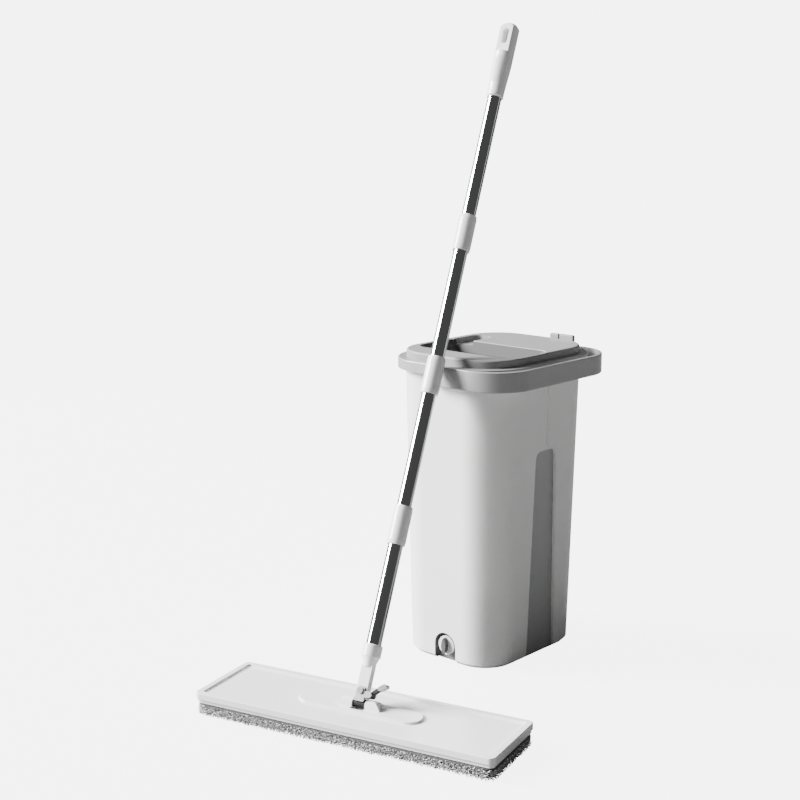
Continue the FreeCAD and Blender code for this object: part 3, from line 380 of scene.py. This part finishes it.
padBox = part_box("microfibre_pad")
pad = {"length": 0.426, "width": 0.122, "thickness": padBox[1].z - padBox[0].z, "corner": 0.010,
       "cornerSteps": 6, "edgeRound": 0.0035, "edgeSteps": 3, "edgeAngle": 0.9, "voxel": 0.0024,
       "lumpSize": 0.004, "lumpShare": 1.2, "pileDepth": 0.0018, "insetShare": 1.6, "liftShare": 0.6,
       "underside": 0.0004, "topGap": 0.0002}
pile = {"loopRadius": 0.0021, "loopThread": 0.0007, "loopSquash": 0.7, "sideGap": 0.0033, "sideRows": 5,
        "lowestRow": 0.0022, "rowsShort": 0.0050, "stepJitter": 0.3, "rowJitter": 0.0007,
        "underGap": 0.0058, "underJitter": 0.0012, "underHeight": 0.0021, "lean": 0.5,
        "smallest": 0.8, "largest": 1.15, "floorGap": 0.0001, "seed": 11}
tape = {"radius": 0.0016, "inset": 0.0022, "belowTop": 0.0018, "points": 160, "roundSteps": 3}
padCentre = (padBox[0] + padBox[1]) / 2.0
lengthways = Vector(joints["head_swing"]["axis"])
headMatrix = Matrix.Translation((padCentre.x, padCentre.y, 0.0)) @ Matrix.Rotation(
    math.atan2(lengthways.y, lengthways.x), 4, "Z")
chance = random.Random(pile["seed"])


def jitter(size):
    return chance.uniform(-size, size)


def edgePoint(distance, inset):
    # point and outward direction on the pad's rounded outline, that far round it
    halfX, halfY = pad["length"] / 2 - inset, pad["width"] / 2 - inset
    radius = pad["corner"]
    runs = [(2 * (halfX - radius), Vector((-halfX + radius, -halfY, 0)), 0.0),
            (2 * (halfY - radius), Vector((halfX, -halfY + radius, 0)), 90.0),
            (2 * (halfX - radius), Vector((halfX - radius, halfY, 0)), 180.0),
            (2 * (halfY - radius), Vector((-halfX, halfY - radius, 0)), 270.0)]
    for length, start, heading in runs:
        angle = math.radians(heading)
        forward = Vector((math.cos(angle), math.sin(angle), 0))
        outward = Vector((forward.y, -forward.x, 0))
        if distance <= length:
            return start + forward * distance, outward
        distance -= length
        arc = radius * math.pi / 2
        if distance <= arc:
            turn = distance / radius
            centre = start + forward * length - outward * radius
            swung = outward * math.cos(turn) + forward * math.sin(turn)
            return centre + swung * radius, swung
        distance -= arc
    return edgePoint(0.0, inset)


def outlineLength(inset):
    # all the way round the outline that edgePoint follows
    straight = 2 * (pad["length"] + pad["width"] - 4 * inset - 4 * pad["corner"])
    return straight + 2 * math.pi * pad["corner"]


def makePadBody():
    # backing and batting: a low crowned slab with a lumpy, pile-covered face
    inset = pad["pileDepth"] * pad["insetShare"]
    height = pad["thickness"] - pad["pileDepth"]
    bpy.ops.mesh.primitive_cube_add(size=1.0, location=(0, 0, 0))
    body = bpy.context.object
    body.name = "microfibre_pad_body"
    bpy.ops.object.mode_set(mode="EDIT")
    bpy.ops.mesh.select_all(action="SELECT")
    bpy.ops.transform.resize(value=(pad["length"] - 2 * inset, pad["width"] - 2 * inset, height))
    bpy.ops.transform.translate(value=(0, 0, pad["pileDepth"] * pad["liftShare"] + height / 2))
    bpy.ops.mesh.select_all(action="DESELECT")
    bpy.ops.object.mode_set(mode="OBJECT")
    bpy.context.tool_settings.mesh_select_mode = (False, True, False)
    for edge in body.data.edges:
        first, last = (body.data.vertices[i].co for i in edge.vertices)
        edge.select = abs(first.z - last.z) > height / 2
    bpy.ops.object.mode_set(mode="EDIT")
    bpy.ops.mesh.bevel(offset=pad["corner"], segments=pad["cornerSteps"])
    bpy.ops.object.mode_set(mode="OBJECT")
    applyModifier(body, "BEVEL", {"width": pad["edgeRound"], "segments": pad["edgeSteps"],
                                  "limit_method": "ANGLE", "angle_limit": pad["edgeAngle"]})
    applyModifier(body, "REMESH", {"mode": "VOXEL", "voxel_size": pad["voxel"]})
    lumps = bpy.data.textures.new("pad lumps", "CLOUDS")
    lumps.noise_scale = pad["lumpSize"]
    applyModifier(body, "DISPLACE",
                  {"texture": lumps, "strength": pad["pileDepth"] * pad["lumpShare"], "mid_level": 0.5})
    onlyActive(body)
    bpy.ops.object.shade_smooth()
    for vertex in body.data.vertices:
        vertex.co.z = min(max(vertex.co.z, pad["underside"]), pad["thickness"] - pad["topGap"])
    return body


def makeLoop():
    # one loop of yarn, a few faces only
    bpy.ops.mesh.primitive_torus_add(major_segments=7, minor_segments=3, major_radius=pile["loopRadius"],
                                     minor_radius=pile["loopThread"])
    loop = bpy.context.object
    bpy.ops.object.mode_set(mode="EDIT")
    bpy.ops.mesh.select_all(action="SELECT")
    bpy.ops.transform.resize(value=(1.0, pile["loopSquash"], 1.0))
    bpy.ops.object.mode_set(mode="OBJECT")
    bpy.ops.object.shade_smooth()
    return loop


def loopPlaces():
    # where each loop stands and which way it leans
    places = []
    around = outlineLength(pad["pileDepth"])
    count = int(around / pile["sideGap"])
    rise = (pad["thickness"] - pile["rowsShort"]) / (pile["sideRows"] - 1)
    for row in range(pile["sideRows"]):
        height = pile["lowestRow"] + row * rise
        for step in range(count):
            distance = (step + 0.5 * (row % 2) + jitter(pile["stepJitter"])) * around / count
            point, outward = edgePoint(min(max(distance, 0.0), around - 0.0001), pad["pileDepth"])
            point.z = height + jitter(pile["rowJitter"])
            places.append((point, outward))
    columns = int(pad["length"] / pile["underGap"])
    rows = int(pad["width"] / pile["underGap"])
    for column in range(1, columns):
        for row in range(1, rows):
            x = -pad["length"] / 2 + column * pile["underGap"] + jitter(pile["underJitter"])
            y = -pad["width"] / 2 + row * pile["underGap"] + jitter(pile["underJitter"])
            places.append((Vector((x, y, pile["underHeight"])), Vector((0, 0, -1))))
    return places


def makeLoops():
    # the whole pile, copied from one loop and joined
    loop = makeLoop()
    copies = []
    for place, outward in loopPlaces():
        lean = Euler((chance.uniform(0, math.pi * 2), jitter(pile["lean"]), jitter(pile["lean"])))
        turn = outward.to_track_quat("X", "Z").to_matrix() @ lean.to_matrix()
        copy = loop.copy()
        copy.data = loop.data.copy()
        size = Matrix.Scale(chance.uniform(pile["smallest"], pile["largest"]), 4)
        copy.data.transform(Matrix.Translation(place) @ turn.to_4x4() @ size)
        bpy.context.collection.objects.link(copy)
        copies.append(copy)
    bpy.data.objects.remove(loop)
    bpy.ops.object.select_all(action="DESELECT")
    for copy in copies:
        copy.select_set(True)
    bpy.context.view_layer.objects.active = copies[0]
    bpy.ops.object.join()
    loops = bpy.context.object
    loops.name = "microfibre_pad_loops"
    for vertex in loops.data.vertices:
        vertex.co.z = max(vertex.co.z, pile["floorGap"])
    return loops


def makeBinding():
    # folded tape sewn round the pad's upper edge
    curve = bpy.data.curves.new("pad binding", "CURVE")
    curve.dimensions = "3D"
    curve.bevel_depth = tape["radius"]
    curve.bevel_resolution = tape["roundSteps"]
    spline = curve.splines.new("POLY")
    count = tape["points"]
    around = outlineLength(tape["inset"])
    spline.points.add(count - 1)
    for index in range(count):
        point, _ = edgePoint(around * index / count, tape["inset"])
        spline.points[index].co = (point.x, point.y, pad["thickness"] - tape["belowTop"], 1.0)
    spline.use_cyclic_u = True
    holder = bpy.data.objects.new("pad binding curve", curve)
    bpy.context.collection.objects.link(holder)
    onlyActive(holder)
    bpy.ops.object.convert(target="MESH")
    binding = bpy.context.object
    binding.name = "pad_edge_binding"
    bpy.ops.object.shade_smooth()
    return binding


padBody = makePadBody()
padLoops = makeLoops()
padBinding = makeBinding()
for piece, finish in ((padBody, finishes["microfibre"]), (padLoops, finishes["microfibre"]),
                      (padBinding, edgeTape)):
    settle(piece, headMatrix)
    dress(piece, finish)
    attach(piece, "mop_head")
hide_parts("microfibre_pad")
print("pad body, loops and binding made")


studio = {"floorSize": 60.0, "floorDrop": 0.0005, "floorGlow": 5.6, "sky": 6.2, "ambient": 0.10}


def makeFloor():
    # white sweep that glows a little towards the lens, so that it stays pale
    # without lighting the object from below
    bpy.ops.mesh.primitive_plane_add(size=studio["floorSize"],
                                     location=(0, 0, cadBox[0][2] - studio["floorDrop"]))
    floor = bpy.context.object
    floor.name = "studio_floor"
    material, tree, surface, place = startMaterial("matt white studio floor", {"Roughness": 0.7})
    cloud = addNode(tree, "ShaderNodeTexNoise", None, {"Vector": place, "Scale": 0.7, "Detail": 2.0})
    tree.links.new(mixTwo(tree, cloud.outputs["Fac"], "#7C7C7C", "#787878"), surface.inputs["Base Color"])
    direct = addNode(tree, "ShaderNodeLightPath").outputs["Is Camera Ray"]
    glow = addNode(tree, "ShaderNodeMath", {"operation": "MULTIPLY"}, {0: direct, 1: studio["floorGlow"]})
    surface.inputs["Emission Color"].default_value = (1.0, 1.0, 1.0, 1.0)
    tree.links.new(glow.outputs[0], surface.inputs["Emission Strength"])
    dress(floor, material)


def addLight(name, look):
    data = bpy.data.lights.new(name, look["kind"])
    data.energy = look["power"]
    if look["kind"] == "SUN":
        data.angle = look["size"]
    else:
        data.shape = "RECTANGLE"
        data.size, data.size_y = look["size"]
    light = bpy.data.objects.new(name, data)
    bpy.context.collection.objects.link(light)
    light.location = look["place"]
    light.visible_camera = False
    aim = Vector(look["aim"]) - Vector(look["place"])
    light.rotation_euler = aim.to_track_quat("-Z", "Y").to_euler()


lights = {
    "key": {"kind": "SUN", "power": 19.0, "size": 0.5, "place": (-3.6, -2.3, 2.6), "aim": (0.0, 0.0, 0.3)},
    "leftStrip": {"kind": "AREA", "power": 9.0, "size": (0.22, 2.4), "place": (-2.2, 0.2, 1.2),
                  "aim": (0.0, 0.0, 0.5)},
    "lowCard": {"kind": "AREA", "power": 4.0, "size": (0.5, 0.7), "place": (-0.95, -1.35, 0.36),
                "aim": (0.0, -0.1, 0.36)},
    "rightStrip": {"kind": "AREA", "power": 2.6, "size": (0.2, 2.4), "place": (1.5, 1.9, 1.2),
                   "aim": (0.0, 0.0, 0.5)},
    "top": {"kind": "AREA", "power": 14.0, "size": (1.6, 1.6), "place": (-0.6, 0.7, 2.4),
            "aim": (0.0, -0.1, 0.3)},
}
makeFloor()
for name, look in lights.items():
    addLight(name, look)

world = bpy.data.worlds.new("studio")
bpy.context.scene.world = world
world.use_nodes = True
worldTree = world.node_tree
worldTree.nodes.clear()
seen = addNode(worldTree, "ShaderNodeLightPath").outputs["Is Camera Ray"]
sky = addNode(worldTree, "ShaderNodeBackground", None,
              {"Color": (1.0, 1.0, 1.0, 1.0), "Strength": studio["sky"]})
ambient = addNode(worldTree, "ShaderNodeBackground", None, {"Color": (1.0, 1.0, 1.0, 1.0),
                                                            "Strength": studio["ambient"]})
blendSky = addNode(worldTree, "ShaderNodeMixShader", None,
                   {0: seen, 1: ambient.outputs[0], 2: sky.outputs[0]})
addNode(worldTree, "ShaderNodeOutputWorld", None, {"Surface": blendSky.outputs[0]})

view = {"sensor": 36.0, "place": (1.2945, -1.6373, 0.786), "heading": 42.0, "downTilt": 11.46, "lens": 66.6}
cameraData = bpy.data.cameras.new("camera")
cameraData.lens = view["lens"]
cameraData.sensor_width = view["sensor"]
camera = bpy.data.objects.new("camera", cameraData)
bpy.context.collection.objects.link(camera)
camera.location = view["place"]
camera.rotation_euler = (math.radians(90.0 - view["downTilt"]), 0.0, math.radians(view["heading"]))
bpy.context.scene.camera = camera
print("floor, light and camera set")
